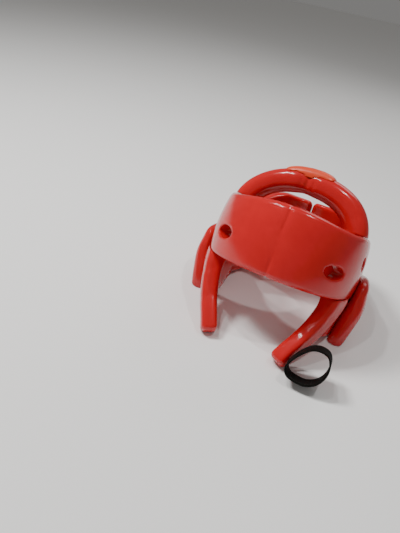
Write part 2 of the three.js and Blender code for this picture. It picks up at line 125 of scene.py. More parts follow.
class Side(Enum):
    """The wearer's sides, as the sign of X."""

    LEFT = 1
    RIGHT = -1

    def node(self, piece: str) -> str:
        """Name of a piece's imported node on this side."""
        return f"{piece}_{self.name.lower()}"

    def turns(self, near: float, far: float) -> tuple[float, float]:
        """A stretch round the head on this side, from its lower turn to its higher one."""
        return (near, far) if self is Side.LEFT else (-far, -near)


@dataclass(frozen=True)
class HeadForm:
    """The hollow that the foam is formed round, with its sizes in millimetres."""

    half_width: float = 80.0
    half_length: float = 97.0
    foam: float = 20.0
    edge: float = 7.0
    gap: float = 0.3
    band_height: float = 80.0
    roundness: float = 2.15
    heights: tuple[float, ...] = (-0.9, -0.375, 0.0, 0.35, 0.75, 1.0, 1.25, 1.5)
    girths: tuple[float, ...] = (0.84, 0.91, 0.97, 1.0, 0.975, 0.925, 0.83, 0.68)

    def girth(self, height: np.ndarray) -> np.ndarray:
        """Girth of the form at heights, along a smooth curve through the table's rows.

        Args:
            height: Heights in millimetres.

        Returns:
            Shares of the half width and half length.
        """
        return smooth_table(self.heights, self.girths, height / self.band_height)

    def points(self, turn: float, height: np.ndarray, outside: np.ndarray) -> np.ndarray:
        """Points at one turn round the head.

        Args:
            turn: Degrees from the forehead towards the wearer's left.
            height: Heights in millimetres.
            outside: Distances outside the form in millimetres.

        Returns:
            Rows of X, Y and Z in millimetres.
        """
        girth = self.girth(np.asarray(height, float))
        power = 2 / self.roundness
        sine = math.sin(math.radians(turn))
        cosine = math.cos(math.radians(turn))
        across = math.copysign(abs(sine) ** power, sine)
        ahead = math.copysign(abs(cosine) ** power, cosine)
        return np.stack([
            (self.half_width * girth + outside) * across,
            -(self.half_length * girth + outside) * ahead,
            np.broadcast_to(height, girth.shape),
        ], axis=-1)

    def point(self, turn: float, height: float, outside: float) -> Vector:
        """One point at a turn and height, a distance outside the form."""
        return Vector(self.points(turn, np.array([height]), np.array([outside]))[0])


FORM = HeadForm()


@dataclass(frozen=True)
class RestPose:
    """How the headgear leans back on its jaw arms and ear guards."""

    tip_forward: float = 89.0
    tip_drop: float = 91.0
    arm_width: float = 20.0
    guard_turn: float = 82.0
    guard_drop: float = 63.0
    foot_share: float = 0.3

    @property
    def foot_height(self) -> float:
        """Height of the jaw arms' lowest corner in the head frame."""
        return -self.tip_drop - self.arm_width * self.foot_share

    @property
    def lean(self) -> float:
        """Angle of the rest plane in the head frame, in radians."""
        front = FORM.point(self.guard_turn, -self.guard_drop, FORM.foam).y
        return math.atan2(-self.guard_drop - self.foot_height, front + self.tip_forward)

    def height_at(self, back: float) -> float:
        """Height of the rest plane at a place along Y in the head frame."""
        return self.foot_height + (back + self.tip_forward) * math.tan(self.lean)

    def point(self, across: float, back: float, up: float) -> Vector:
        """Point from its place across, back along the rest plane and up from it.

        Args:
            across: X in millimetres.
            back: Distance behind the jaw arms' tips along the plane.
            up: Distance above the plane.

        Returns:
            The point in the head frame.
        """
        sine, cosine = math.sin(self.lean), math.cos(self.lean)
        return Vector((
            across,
            -self.tip_forward + back * cosine - up * sine,
            self.foot_height + back * sine + up * cosine,
        ))


REST = RestPose()


class Placement:
    """Takes points from the head frame in millimetres to the row frame in metres."""

    def __init__(self) -> None:
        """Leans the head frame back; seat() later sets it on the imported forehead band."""
        self.turn = Matrix.Rotation(-REST.lean, 3, "X")
        self.offset = Vector((0.0, 0.0, 0.0))

    def seat(self, cloud: np.ndarray, node: str) -> None:
        """Works out the offset that lays a piece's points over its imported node.

        Args:
            cloud: Points of the piece in the head frame.
            node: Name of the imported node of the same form.
        """
        low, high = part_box(node)
        turned = cloud @ np.array(self.turn).T * MM
        middle = (turned.min(axis=0) + turned.max(axis=0)) / 2
        self.offset = (low + high) / 2 - Vector(middle)

    def apply(self, cloud: np.ndarray) -> np.ndarray:
        """Points in the row frame, in metres."""
        return cloud @ np.array(self.turn).T * MM + np.array(self.offset)

    def vector(self, point: Vector) -> Vector:
        """One point in the row frame, in metres."""
        return self.turn @ point * MM + self.offset


PLACE = Placement()

Solid = tuple[np.ndarray, list[tuple[int, ...]]]


def ring_solid(rings: np.ndarray, closed: bool = False) -> Solid:
    """Closed body through rings of equal point counts.

    Args:
        rings: Array of rings, points and coordinates.
        closed: Whether the last ring joins the first.

    Returns:
        Its points and faces, facing out.
    """
    count, sides = rings.shape[:2]
    faces: list[tuple[int, ...]] = []
    for row in range(count if closed else count - 1):
        over = (row + 1) % count
        for step in range(sides):
            after = (step + 1) % sides
            faces.append((row * sides + step, row * sides + after, over * sides + after, over * sides + step))
    if not closed:
        faces.append(tuple(reversed(range(sides))))
        faces.append(tuple((count - 1) * sides + step for step in range(sides)))
    cloud = rings.reshape(-1, 3)
    volume = 0.0
    for face in faces:
        corners = cloud[list(face)]
        for second in range(1, len(face) - 1):
            volume += float(np.dot(corners[0], np.cross(corners[second], corners[second + 1])))
    if volume < 0:
        faces = [tuple(reversed(face)) for face in faces]
    return cloud, faces


def wall_section(depth: float, height: float, radius: float, side_steps: int) -> np.ndarray:
    """Section of a foam wall with rounded corners.

    Args:
        depth: Thickness of the wall.
        height: Height of the wall.
        radius: Radius of the corners.
        side_steps: Steps along each upright side.

    Returns:
        Rows of distance outside and distance up.
    """
    radius = min(radius, depth / ROUND_LIMIT, height / ROUND_LIMIT)
    corners = (
        (depth - radius, radius, -90),
        (depth - radius, height - radius, 0),
        (radius, height - radius, 90),
        (radius, radius, 180),
    )
    rows: list[tuple[float, float]] = []
    for number, (outside, up, start) in enumerate(corners):
        for step in range(CORNER_STEPS + 1):
            angle = math.radians(start + 90 * step / CORNER_STEPS)
            rows.append((outside + radius * math.cos(angle), up + radius * math.sin(angle)))
        if number % 2 == 0:
            run = height - 2 * radius
            for step in range(1, side_steps):
                rise = run * step / side_steps
                rows.append((depth, radius + rise) if number == 0 else (0.0, height - radius - rise))
    return np.array(rows)


@dataclass
class FoamWall:
    """A stretch of foam wall round the head; each callable takes the turn in degrees."""

    start: float
    end: float
    bottom: Turnwise
    top: Turnwise
    inner: float = 0.0
    depth: float = FORM.foam
    radius: float = FORM.edge
    swell: Callable[[float, np.ndarray, np.ndarray], np.ndarray] | None = None
    steps: int = 60
    side_steps: int = 14
    end_sharpness: float = 0.7

    def solid(self) -> Solid:
        """The wall as one closed body in the head frame."""
        reach = math.degrees(self.radius / FORM.half_length)
        rows: list[tuple[float, float]] = []
        for step in range(CORNER_STEPS + 1):
            angle = math.radians(90 * step / CORNER_STEPS)
            rows.append((self.start + reach * (1 - math.cos(angle)), self.radius * (1 - math.sin(angle))))
        span = self.end - self.start - 2 * reach
        rows += [(self.start + reach + span * step / self.steps, 0.0) for step in range(1, self.steps)]
        for step in range(CORNER_STEPS, -1, -1):
            angle = math.radians(90 * step / CORNER_STEPS)
            rows.append((self.end - reach * (1 - math.cos(angle)), self.radius * (1 - math.sin(angle))))
        rings = []
        for turn, inset in rows:
            low = self.bottom(turn) + inset
            high = self.top(turn) - inset
            depth = self.depth - 2 * inset
            radius = self.radius - inset * self.end_sharpness
            section = wall_section(depth, high - low, radius, self.side_steps)
            outside = self.inner + inset + section[:, 0]
            if self.swell:
                outside = outside + self.swell(turn, section[:, 1] / (high - low), section[:, 0] / depth)
            rings.append(FORM.points(turn, low + section[:, 1], outside))
        return ring_solid(np.array(rings))


@dataclass
class BarRow:
    """One section of a rounded bar."""

    middle: Vector
    across: Vector
    through: Vector
    width: float
    thickness: float


def bar_solid(rows: Sequence[BarRow], squareness: float, end_radius: float, sides: int = 40) -> Solid:
    """Rounded bar through its sections, with rounded ends.

    Args:
        rows: Sections in order.
        squareness: Power of the section's outline, 1 for an oval and less for a squarer one.
        end_radius: Radius of the end's edge.
        sides: Points in each section.

    Returns:
        Its points and faces.
    """
    angles = [2 * math.pi * side / sides for side in range(sides)]
    shares = [(
        math.copysign(abs(math.cos(angle)) ** squareness, math.cos(angle)),
        math.copysign(abs(math.sin(angle)) ** squareness, math.sin(angle)),
    ) for angle in angles]

    def section(row: BarRow, inset: float, moved: Vector) -> list[list[float]]:
        """One ring of the bar, drawn in by the inset."""
        return [list(
            row.middle + moved
            + row.across * (across * (row.width / 2 - inset))
            + row.through * (through * (row.thickness / 2 - inset))
        ) for across, through in shares]

    head = (rows[1].middle - rows[0].middle).normalized()
    tail = (rows[-2].middle - rows[-1].middle).normalized()
    bends = (90, 67.5, 45, 22.5, 0)
    # Sections nearer than this to an end would fold over its rounding
    keep_off = end_radius * 1.2

    def end(row: BarRow, along: Vector, order: Sequence[float]) -> list[list[list[float]]]:
        """The rings of one rounded end."""
        result = []
        for bend in order:
            angle = math.radians(bend)
            inset = end_radius * (1 - math.cos(angle))
            result.append(section(row, inset, along * (end_radius * (1 - math.sin(angle)))))
        return result

    rings = end(rows[0], head, bends)
    for row in rows[1:-1]:
        if min((row.middle - other.middle).length for other in (rows[0], rows[-1])) > keep_off:
            rings.append(section(row, 0.0, Vector()))
    rings += end(rows[-1], tail, bends[::-1])
    return ring_solid(np.array(rings))


def new_object(name: str, solid: Solid) -> bpy.types.Object:
    """Makes an object at the origin whose mesh is the solid, placed in the row frame.

    Args:
        name: Name of the piece.
        solid: Points in the head frame and faces.

    Returns:
        The new object.
    """
    cloud, faces = solid
    mesh = bpy.data.meshes.new(name)
    mesh.from_pydata(PLACE.apply(cloud).tolist(), [], faces)
    mesh.update()
    piece = bpy.data.objects.new(name, mesh)
    bpy.context.scene.collection.objects.link(piece)
    return piece


def settle(piece: bpy.types.Object) -> None:
    """Replaces a piece's mesh by its evaluated one and drops its modifiers."""
    graph = bpy.context.evaluated_depsgraph_get()
    fresh = bpy.data.meshes.new_from_object(piece.evaluated_get(graph))
    old = piece.data
    piece.modifiers.clear()
    piece.data = fresh
    bpy.data.meshes.remove(old)
    fresh.name = piece.name


def carve(piece: bpy.types.Object, solid: Solid, operation: str) -> None:
    """Joins a solid to a piece or cuts it away.

    Args:
        piece: The piece that changes.
        solid: Points in the head frame and faces.
        operation: UNION or DIFFERENCE.
    """
    tool = new_object("tool", solid)
    modifier = piece.modifiers.new("carve", "BOOLEAN")
    modifier.operation = operation
    modifier.solver = "EXACT"
    modifier.object = tool
    settle(piece)
    bpy.data.objects.remove(tool)


@dataclass(frozen=True)
class Crease:
    """A soft fold pressed into the foam, in the head frame in millimetres."""

    middle: tuple[float, float, float]
    along: tuple[float, float, float]
    across: tuple[float, float, float]
    length: float
    width: float
    depth: float


def press(cloud: np.ndarray, normals: np.ndarray, creases: Sequence[Crease]) -> np.ndarray:
    """Presses creases into points along their normals.

    Args:
        cloud: Points in the row frame, in metres.
        normals: Unit normals of the points.
        creases: The folds to press.

    Returns:
        The moved points.
    """
    turn = np.array(PLACE.turn)
    for crease in creases:
        middle = np.array(PLACE.vector(Vector(crease.middle)))
        along = turn @ np.array(Vector(crease.along).normalized())
        across = turn @ np.array(Vector(crease.across).normalized())
        offset = (cloud - middle) / MM
        run = offset @ along / crease.length
        side = offset @ across / crease.width
        rest = offset - np.outer(offset @ along, along) - np.outer(offset @ across, across)
        near = np.exp(-(np.linalg.norm(rest, axis=1) / (crease.length * 0.7 + 12)) ** 4)
        fall = np.exp(-run ** 4) * np.exp(-side ** 2) * near
        cloud = cloud - normals * (fall * crease.depth * MM)[:, None]
    return cloud


def foam_skin(piece: bpy.types.Object, voxel: float, soften: int, creases: Sequence[Crease] = ()) -> None:
    """Gives a piece the even, soft-edged surface of foam dipped in vinyl.

    Args:
        piece: The piece, a closed body.
        voxel: Grain of the new surface in millimetres.
        soften: Rounds of smoothing.
        creases: Folds pressed in afterwards.
    """
    grain = piece.modifiers.new("skin", "REMESH")
    grain.mode = "VOXEL"
    grain.voxel_size = voxel * MM
    soft = piece.modifiers.new("soften", "SMOOTH")
    soft.factor = 0.5
    soft.iterations = soften
    settle(piece)
    mesh = piece.data
    count = len(mesh.vertices)
    cloud = np.empty(count * 3)
    normals = np.empty(count * 3)
    mesh.vertices.foreach_get("co", cloud)
    mesh.vertices.foreach_get("normal", normals)
    cloud = press(cloud.reshape(-1, 3), normals.reshape(-1, 3), creases)
    mesh.vertices.foreach_set("co", cloud.ravel())
    mesh.polygons.foreach_set("use_smooth", [True] * len(mesh.polygons))
    mesh.update()


def add_node(tree: bpy.types.NodeTree, kind: str, settings: dict[str, object] | None = None,
             inputs: dict[str | int, object] | None = None) -> bpy.types.Node:
    """Adds a node with its settings, input values and links.

    Args:
        tree: The node tree.
        kind: The node's type.
        settings: Attributes to set on the node.
        inputs: Input names or places with a value, or with an output socket to link from.

    Returns:
        The new node.
    """
    node = tree.nodes.new(kind)
    for name, value in (settings or {}).items():
        setattr(node, name, value)
    for name, value in (inputs or {}).items():
        if isinstance(value, bpy.types.NodeSocket):
            tree.links.new(value, node.inputs[name])
        else:
            node.inputs[name].default_value = value
    return node


def bare_material(name: str) -> bpy.types.Material:
    """Makes a material with an empty node tree."""
    material = bpy.data.materials.new(name)
    material.use_nodes = True
    material.node_tree.nodes.clear()
    return material


@dataclass(frozen=True)
class DippedVinyl:
    """PVC plastisol skin on closed-cell foam, dipped and cured: a smooth, wet-looking gloss."""

    name: str
    colour: str
    shade: str
    roughness: float = 0.17
    ior: float = 1.53
    peel_mm: float = 1.6
    scuff_mm: float = 9.0
    wave_mm: float = 14.0
    dent_mm: float = 26.0

    def build(self) -> bpy.types.Material:
        """Makes the material; its patterns are worked out in metres from sizes in millimetres."""
        material = bare_material(self.name)
        tree = material.node_tree
        place = add_node(tree, "ShaderNodeTexCoord").outputs["Object"]
        # Slow drift of colour, as the dip runs thicker and thinner
        drift = add_node(tree, "ShaderNodeTexNoise", inputs={
            "Vector": place, "Scale": 1 / (self.dent_mm * MM), "Detail": 3.0, "Roughness": 0.55,
        })
        blend = add_node(tree, "ShaderNodeMapRange", inputs={
            "Value": drift.outputs["Fac"], "From Min": 0.3, "From Max": 0.75,
        })
        colour = add_node(tree, "ShaderNodeMix", {"data_type": "RGBA"}, {
            0: blend.outputs["Result"], 6: hex_to_linear(self.colour), 7: hex_to_linear(self.shade),
        })
        # Scuffs and finger marks dull the gloss in small patches
        scuff = add_node(tree, "ShaderNodeTexNoise", inputs={
            "Vector": place, "Scale": 1 / (self.scuff_mm * MM), "Detail": 5.0, "Roughness": 0.62,
            "Distortion": 0.6,
        })
        rough = add_node(tree, "ShaderNodeMapRange", inputs={
            "Value": scuff.outputs["Fac"], "From Min": 0.3, "From Max": 0.75,
            "To Min": self.roughness * 0.85, "To Max": self.roughness * 1.2,
        })
        peel = add_node(tree, "ShaderNodeTexNoise", inputs={
            "Vector": place, "Scale": 1 / (self.peel_mm * MM), "Detail": 2.0,
        })
        waves = add_node(tree, "ShaderNodeTexNoise", inputs={
            "Vector": place, "Scale": 1 / (self.wave_mm * MM), "Detail": 2.0, "Roughness": 0.4,
        })
        fine = add_node(tree, "ShaderNodeBump", inputs={
            "Height": peel.outputs["Fac"], "Strength": 0.12, "Distance": 0.08 * MM,
        })
        broad = add_node(tree, "ShaderNodeBump", inputs={
            "Height": waves.outputs["Fac"], "Strength": 0.25, "Distance": 0.5 * MM,
            "Normal": fine.outputs["Normal"],
        })
        shader = add_node(tree, "ShaderNodeBsdfPrincipled", inputs={
            "Base Color": colour.outputs[2], "Roughness": rough.outputs["Result"],
            "Normal": broad.outputs["Normal"], "IOR": self.ior,
        })
        add_node(tree, "ShaderNodeOutputMaterial", inputs={"Surface": shader.outputs["BSDF"]})
        return material


@dataclass(frozen=True)
class WovenWebbing:
    """Polyester webbing, woven in ribs across its width: dull black with lit thread crowns."""

    name: str
    colour: str
    crown: str
    rib_mm: float = 1.3
    thread_share: float = 0.8
    roughness: float = 0.82

    def build(self) -> bpy.types.Material:
        """Makes the material; the weave follows the strip's own UV map, which is in metres."""
        material = bare_material(self.name)
        tree = material.node_tree
        place = add_node(tree, "ShaderNodeUVMap", {"uv_map": "strip"}).outputs["UV"]
        # A wave texture repeats each 1 / (scale * 20 / 2 pi) of its space
        pitch = 2 * math.pi / (20 * self.rib_mm * MM)
        ribs = add_node(tree, "ShaderNodeTexWave", {"bands_direction": "X"}, {
            "Vector": place, "Scale": pitch, "Distortion": 0.4, "Detail": 1.0,
        })
        threads = add_node(tree, "ShaderNodeTexWave", {"bands_direction": "Y"}, {
            "Vector": place, "Scale": pitch * self.thread_share, "Distortion": 0.3, "Detail": 1.0,
        })
        weave = add_node(tree, "ShaderNodeMath", {"operation": "MULTIPLY"}, {
            0: ribs.outputs["Fac"], 1: threads.outputs["Fac"],
        })
        colour = add_node(tree, "ShaderNodeMix", {"data_type": "RGBA"}, {
            0: weave.outputs["Value"], 6: hex_to_linear(self.colour), 7: hex_to_linear(self.crown),
        })
        bump = add_node(tree, "ShaderNodeBump", inputs={
            "Height": weave.outputs["Value"], "Strength": 0.8, "Distance": 0.35 * MM,
        })
        shader = add_node(tree, "ShaderNodeBsdfPrincipled", inputs={
            "Base Color": colour.outputs[2], "Roughness": self.roughness, "Normal": bump.outputs["Normal"],
            "Specular IOR Level": 0.2,
        })
        add_node(tree, "ShaderNodeOutputMaterial", inputs={"Surface": shader.outputs["BSDF"]})
        return material


@dataclass(frozen=True)
class SpunThread:
    """Bonded polyester sewing thread, spun from fine filaments: slightly lighter than the strap."""

    name: str
    colour: str
    roughness: float = 0.6
    twist_mm: float = 0.6

    def build(self) -> bpy.types.Material:
        """Makes the material, with the twist of the thread as fine bands."""
        material = bare_material(self.name)
        tree = material.node_tree
        place = add_node(tree, "ShaderNodeTexCoord").outputs["Object"]
        twist = add_node(tree, "ShaderNodeTexNoise", inputs={
            "Vector": place, "Scale": 1 / (self.twist_mm * MM),
        })
        bump = add_node(tree, "ShaderNodeBump", inputs={
            "Height": twist.outputs["Fac"], "Strength": 0.5, "Distance": 0.1 * MM,
        })
        shader = add_node(tree, "ShaderNodeBsdfPrincipled", inputs={
            "Base Color": hex_to_linear(self.colour), "Roughness": self.roughness,
            "Normal": bump.outputs["Normal"],
        })
        add_node(tree, "ShaderNodeOutputMaterial", inputs={"Surface": shader.outputs["BSDF"]})
        return material


@dataclass(frozen=True)
class StudioPaper:
    """Matte seamless paper for the floor, near white with a faint tooth."""

    name: str = "seamless_paper"
    colour: str = "#F4F3F1"
    tooth_mm: float = 2.5

    def build(self) -> bpy.types.Material:
        """Makes the material."""
        material = bare_material(self.name)
        tree = material.node_tree
        place = add_node(tree, "ShaderNodeTexCoord").outputs["Object"]
        tooth = add_node(tree, "ShaderNodeTexNoise", inputs={
            "Vector": place, "Scale": 1 / (self.tooth_mm * MM), "Detail": 3.0,
        })
        bump = add_node(tree, "ShaderNodeBump", inputs={
            "Height": tooth.outputs["Fac"], "Strength": 0.1, "Distance": 0.2 * MM,
        })
        shader = add_node(tree, "ShaderNodeBsdfPrincipled", inputs={
            "Base Color": hex_to_linear(self.colour), "Roughness": 0.85, "Normal": bump.outputs["Normal"],
        })
        add_node(tree, "ShaderNodeOutputMaterial", inputs={"Surface": shader.outputs["BSDF"]})
        return material


@dataclass
class Finishes:
    """The finishes of the whole headgear, made once."""

    # Plastisol-dipped foam of the guard's body
    foam: bpy.types.Material = field(
        default_factory=DippedVinyl("dipped_vinyl_red", "#C61C1F", "#BC181A").build)
    # The same dip on the crown pad, duller, and painted lighter and more orange: partly its own tone, partly
    # painted light standing for its lit top
    pad: bpy.types.Material = field(
        default_factory=DippedVinyl("dipped_vinyl_red_painted_lit", "#E04A28", "#D83F20", 0.34).build)
    # Polyester strap webbing
    webbing: bpy.types.Material = field(
        default_factory=WovenWebbing("woven_webbing_black", "#050504", "#15140F").build)
    # Sewing thread of the strap's seams
    thread: bpy.types.Material = field(
        default_factory=SpunThread("spun_thread_black", "#1F1D19").build)


def dress(piece: bpy.types.Object, material: bpy.types.Material, node: str) -> None:
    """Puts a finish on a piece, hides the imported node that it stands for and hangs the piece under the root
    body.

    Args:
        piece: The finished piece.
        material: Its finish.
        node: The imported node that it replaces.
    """
    piece.data.materials.clear()
    piece.data.materials.append(material)
    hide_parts(node)
    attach(piece, ROOT_BODY)
    cloud = np.empty(len(piece.data.vertices) * 3)
    piece.data.vertices.foreach_get("co", cloud)
    cloud = cloud.reshape(-1, 3) / MM
    LOG.info("%s: %d faces, from %s to %s mm", piece.name, len(piece.data.polygons),
             cloud.min(axis=0).round(1), cloud.max(axis=0).round(1))


def finish_foam(piece: bpy.types.Object, material: bpy.types.Material, node: str,
                voxel: float, soften: int, creases: Sequence[Crease] = ()) -> None:
    """Args:
        piece: The piece, cut to shape.
        material: Its finish.
        node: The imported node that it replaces.
        voxel: Grain of its surface in millimetres.
        soften: Rounds of smoothing.
        creases: Folds pressed in.
    """
    foam_skin(piece, voxel, soften, creases)
    dress(piece, material, node)


def oval_prism(place: Vector, right: Vector, up: Vector, out: Vector, width: float, tall: float,
               length: float) -> Solid:
    """Oval prism for a hole.

    Args:
        place: Its middle in the head frame.
        right: Direction of its width.
        up: Direction of its height.
        out: Direction of its length.
        width: Width in millimetres.
        tall: Height in millimetres.
        length: Length in millimetres.

    Returns:
        Its points and faces.
    """
    sides = 48
    rings = []
    for end in (-0.5, 0.5):
        ring = []
        for side in range(sides):
            angle = 2 * math.pi * side / sides
            ring.append(list(
                place + out * (length * end)
                + right * (width / 2 * math.cos(angle)) + up * (tall / 2 * math.sin(angle))
            ))
        rings.append(ring)
    return ring_solid(np.array(rings))


def trim_at_rest(piece: bpy.types.Object) -> None:
    """Cuts a piece flat where it meets the plane that the headgear rests on."""
    work = bmesh.new()
    work.from_mesh(piece.data)
    whole = work.verts[:] + work.edges[:] + work.faces[:]
    cut = bmesh.ops.bisect_plane(work, geom=whole, plane_co=(0, 0, 0), plane_no=(0, 0, 1), clear_inner=True)
    rim = [part for part in cut["geom_cut"] if isinstance(part, bmesh.types.BMEdge)]
    bmesh.ops.holes_fill(work, edges=rim)
    work.to_mesh(piece.data)
    work.free()


@dataclass
class ForeheadBand:
    """The thick band round the brow, with four vent holes and a soft centre crease."""

    half_turn: float = 104.0
    brow_rise: float = 1.0
    brow_top_rise: float = 8.0
    brow_turn: float = 62.0
    brow_under_turn: float = 55.0
    temple_rise: float = 1.0
    temple_turns: tuple[float, float] = (30.0, 90.0)
    edge: float = 5.0
    vent_height: float = 16.0
    # Turn, height and width of the vents on each side
    vents: tuple[tuple[float, float, float], ...] = ((42.5, 32.0, 32.0), (76.0, 50.0, 16.0))
    crease_depth: float = 1.5

    def top(self, turn: float) -> float:
        """Height of the upper edge."""
        temple = self.temple_rise * smooth_step(*self.temple_turns, abs(turn))
        brow = self.brow_top_rise * (1 - smooth_step(0, self.brow_turn, abs(turn)))
        return FORM.band_height + temple + brow

    def bottom(self, turn: float) -> float:
        """Height of the lower edge, which rises a little over the brow."""
        return self.brow_rise * (1 - smooth_step(0, self.brow_under_turn, abs(turn)))

    def wall(self, margin: float) -> Solid:
        """The band's wall, grown by a margin when it is used to cut its neighbours."""
        return FoamWall(
            -self.half_turn - margin, self.half_turn + margin,
            lambda turn: self.bottom(turn) - margin, lambda turn: self.top(turn) + margin,
            inner=-margin, depth=FORM.foam + 2 * margin, radius=self.edge, steps=130,
        ).solid()

    def creases(self) -> list[Crease]:
        """The fold down the middle of the brow, deeper at both edges."""
        front = -FORM.half_length - FORM.foam
        return [
            Crease((0, front + 6, 76), (0, 0.12, 1), (1, 0, 0), 20, 1.6, self.crease_depth * 0.7),
            Crease((0, front, 10), (0, 0, 1), (1, 0, 0), 16, 1.6, self.crease_depth * 0.6),
            Crease((0, front, 44), (0, 0, 1), (1, 0, 0), 44, 7.0, self.crease_depth * 0.4),
        ]

    def build(self, finishes: Finishes) -> None:
        """Makes the band with its vents."""
        solid = self.wall(0.0)
        PLACE.seat(solid[0], "forehead_band")
        piece = new_object("forehead_band_foam", solid)
        for side in Side:
            for turn, height, width in self.vents:
                self.vent(piece, side.value * turn, height, width)
        finish_foam(piece, finishes.foam, "forehead_band", 1.5, 5, self.creases())

    def vent(self, piece: bpy.types.Object, turn: float, height: float, width: float) -> None:
        """Cuts one oval vent straight through the wall.

        Args:
            piece: The band.
            turn: Turn of the vent.
            height: Height of the vent.
            width: Width of the vent.
        """
        ahead = FORM.point(turn + 1, height, FORM.foam) - FORM.point(turn - 1, height, FORM.foam)
        right = ahead.normalized()
        out = right.cross(Vector((0, 0, 1))).normalized()
        middle = (FORM.point(turn, height, FORM.foam) + FORM.point(turn, height, 0)) / 2
        up = out.cross(right)
        prism = oval_prism(middle, right, up, out, width, self.vent_height, 4 * FORM.foam)
        carve(piece, prism, "DIFFERENCE")


@dataclass
class Crown:
    """The arch from temple to temple and the square-edged pad on its middle."""

    band: ForeheadBand
    arch_height: float = 138.0
    arch_half_width: float = 92.0
    arch_thickness: float = 31.0
    arch_depth: float = 33.0
    setback: float = 16.0
    dimple: float = 2.5
    foot_depth: float = 16.0
    arch_roundness: float = 0.93
    arch_squareness: float = 0.85
    pad_width: float = 66.0
    pad_thickness: float = 17.0
    pad_rise: float = 7.0
    pad_length: float = 64.0
    pad_bend: float = 5.0
    pad_slip: float = -8.0
    pad_tilt: float = 0.07
    pad_squareness: float = 0.42
    pad_overhang: float = 0.42
    pad_taper: float = 0.12
    # How far the pad falls at its front and rear, as a share of its thickness and a power
    pad_front_fall: tuple[float, float] = (0.34, 4.0)
    pad_rear_fall: tuple[float, float] = (1.05, 2.4)
    dimple_slip: float = -7.0
    lean: float = 3.0

    def slump(self, solid: Solid) -> Solid:
        """The soft crown's lean to one side, growing with height above the temples."""
        cloud = solid[0].copy()
        cloud[:, 0] += self.lean * smooth_step(FORM.band_height, self.arch_height, cloud[:, 2])
        return cloud, solid[1]

    def arch(self, margin: float) -> Solid:
        """The arch's bar, grown by a margin when it cuts the pad."""
        base = FORM.band_height - self.foot_depth
        half_width = self.arch_half_width - self.arch_thickness / 2
        rise = self.arch_height - self.arch_thickness / 2 - base
        power = self.arch_roundness

        def middle_at(angle: float) -> Vector:
            """Middle line of the bar."""
            cosine = math.cos(angle)
            return Vector((
                -half_width * math.copysign(abs(cosine) ** power, cosine),
                -self.setback,
                base + rise * abs(math.sin(angle)) ** power,
            ))

        rows = []
        steps = 90
        for step in range(steps + 1):
            angle = math.pi * step / steps
            middle = middle_at(angle)
            ahead = (middle_at(angle + 0.01) - middle_at(angle - 0.01)).normalized()
            through = Vector((0, 1, 0))
            across = ahead.cross(through).normalized()
            off = (middle.x - self.dimple_slip) / (self.arch_thickness / 3)
            pinch = self.dimple * math.exp(-off ** 2)
            rows.append(BarRow(middle, across, through, self.arch_thickness - pinch + 2 * margin,
                               self.arch_depth - 2 * pinch + 2 * margin))
        return self.slump(bar_solid(rows, self.arch_squareness, FORM.edge))

    def pad(self) -> Solid:
        """The pad's slab."""
        front_fall, front_power = self.pad_front_fall
        rear_fall, rear_power = self.pad_rear_fall
        rows = []
        steps = 30
        for step in range(steps + 1):
            share = step / steps
            back = -self.setback - self.arch_depth * self.pad_overhang + self.pad_length * share
            fall = front_fall * (1 - share) ** front_power + rear_fall * share ** rear_power
            height = self.arch_height + self.pad_rise - self.pad_thickness * (0.5 + fall)
            rows.append(BarRow(Vector((0, back, height)), Vector((1, 0, 0)), Vector((0, 0, 1)),
                               self.pad_width * (1 - self.pad_taper * share ** 3), self.pad_thickness))
        cloud, faces = bar_solid(rows, self.pad_squareness, FORM.edge, sides=64)
        bend = self.pad_bend * (cloud[:, 0] / (self.pad_width / 2)) ** 2
        cloud[:, 2] -= bend - self.pad_tilt * cloud[:, 0]
        cloud[:, 0] += self.pad_slip
        return self.slump((cloud, faces))

    def build(self, finishes: Finishes) -> None:
        """Makes the arch and the pad."""
        arch = new_object("crown_arch_foam", self.arch(0.0))
        carve(arch, self.band.wall(FORM.gap), "DIFFERENCE")
        front = -self.setback - self.arch_depth / 2
        middle = self.arch_height - self.arch_thickness / 2
        finish_foam(arch, finishes.foam, "crown_arch", 1.4, 5, [
            Crease((-4, front, middle + 2), (0.15, 0, 1), (1, 0, 0), 11, 3.0, 1.5),
            Crease((4, front, middle - 3), (-0.2, 0, 1), (1, 0, 0), 7, 2.4, 0.7),
            Crease((-12, front, middle - 1), (0.1, 0, 1), (1, 0, 0), 8, 2.4, 0.5),
        ])
        pad = new_object("crown_pad_foam", self.pad())
        carve(pad, self.arch(FORM.gap / 3), "DIFFERENCE")
        finish_foam(pad, finishes.pad, "crown_pad", 1.1, 3)


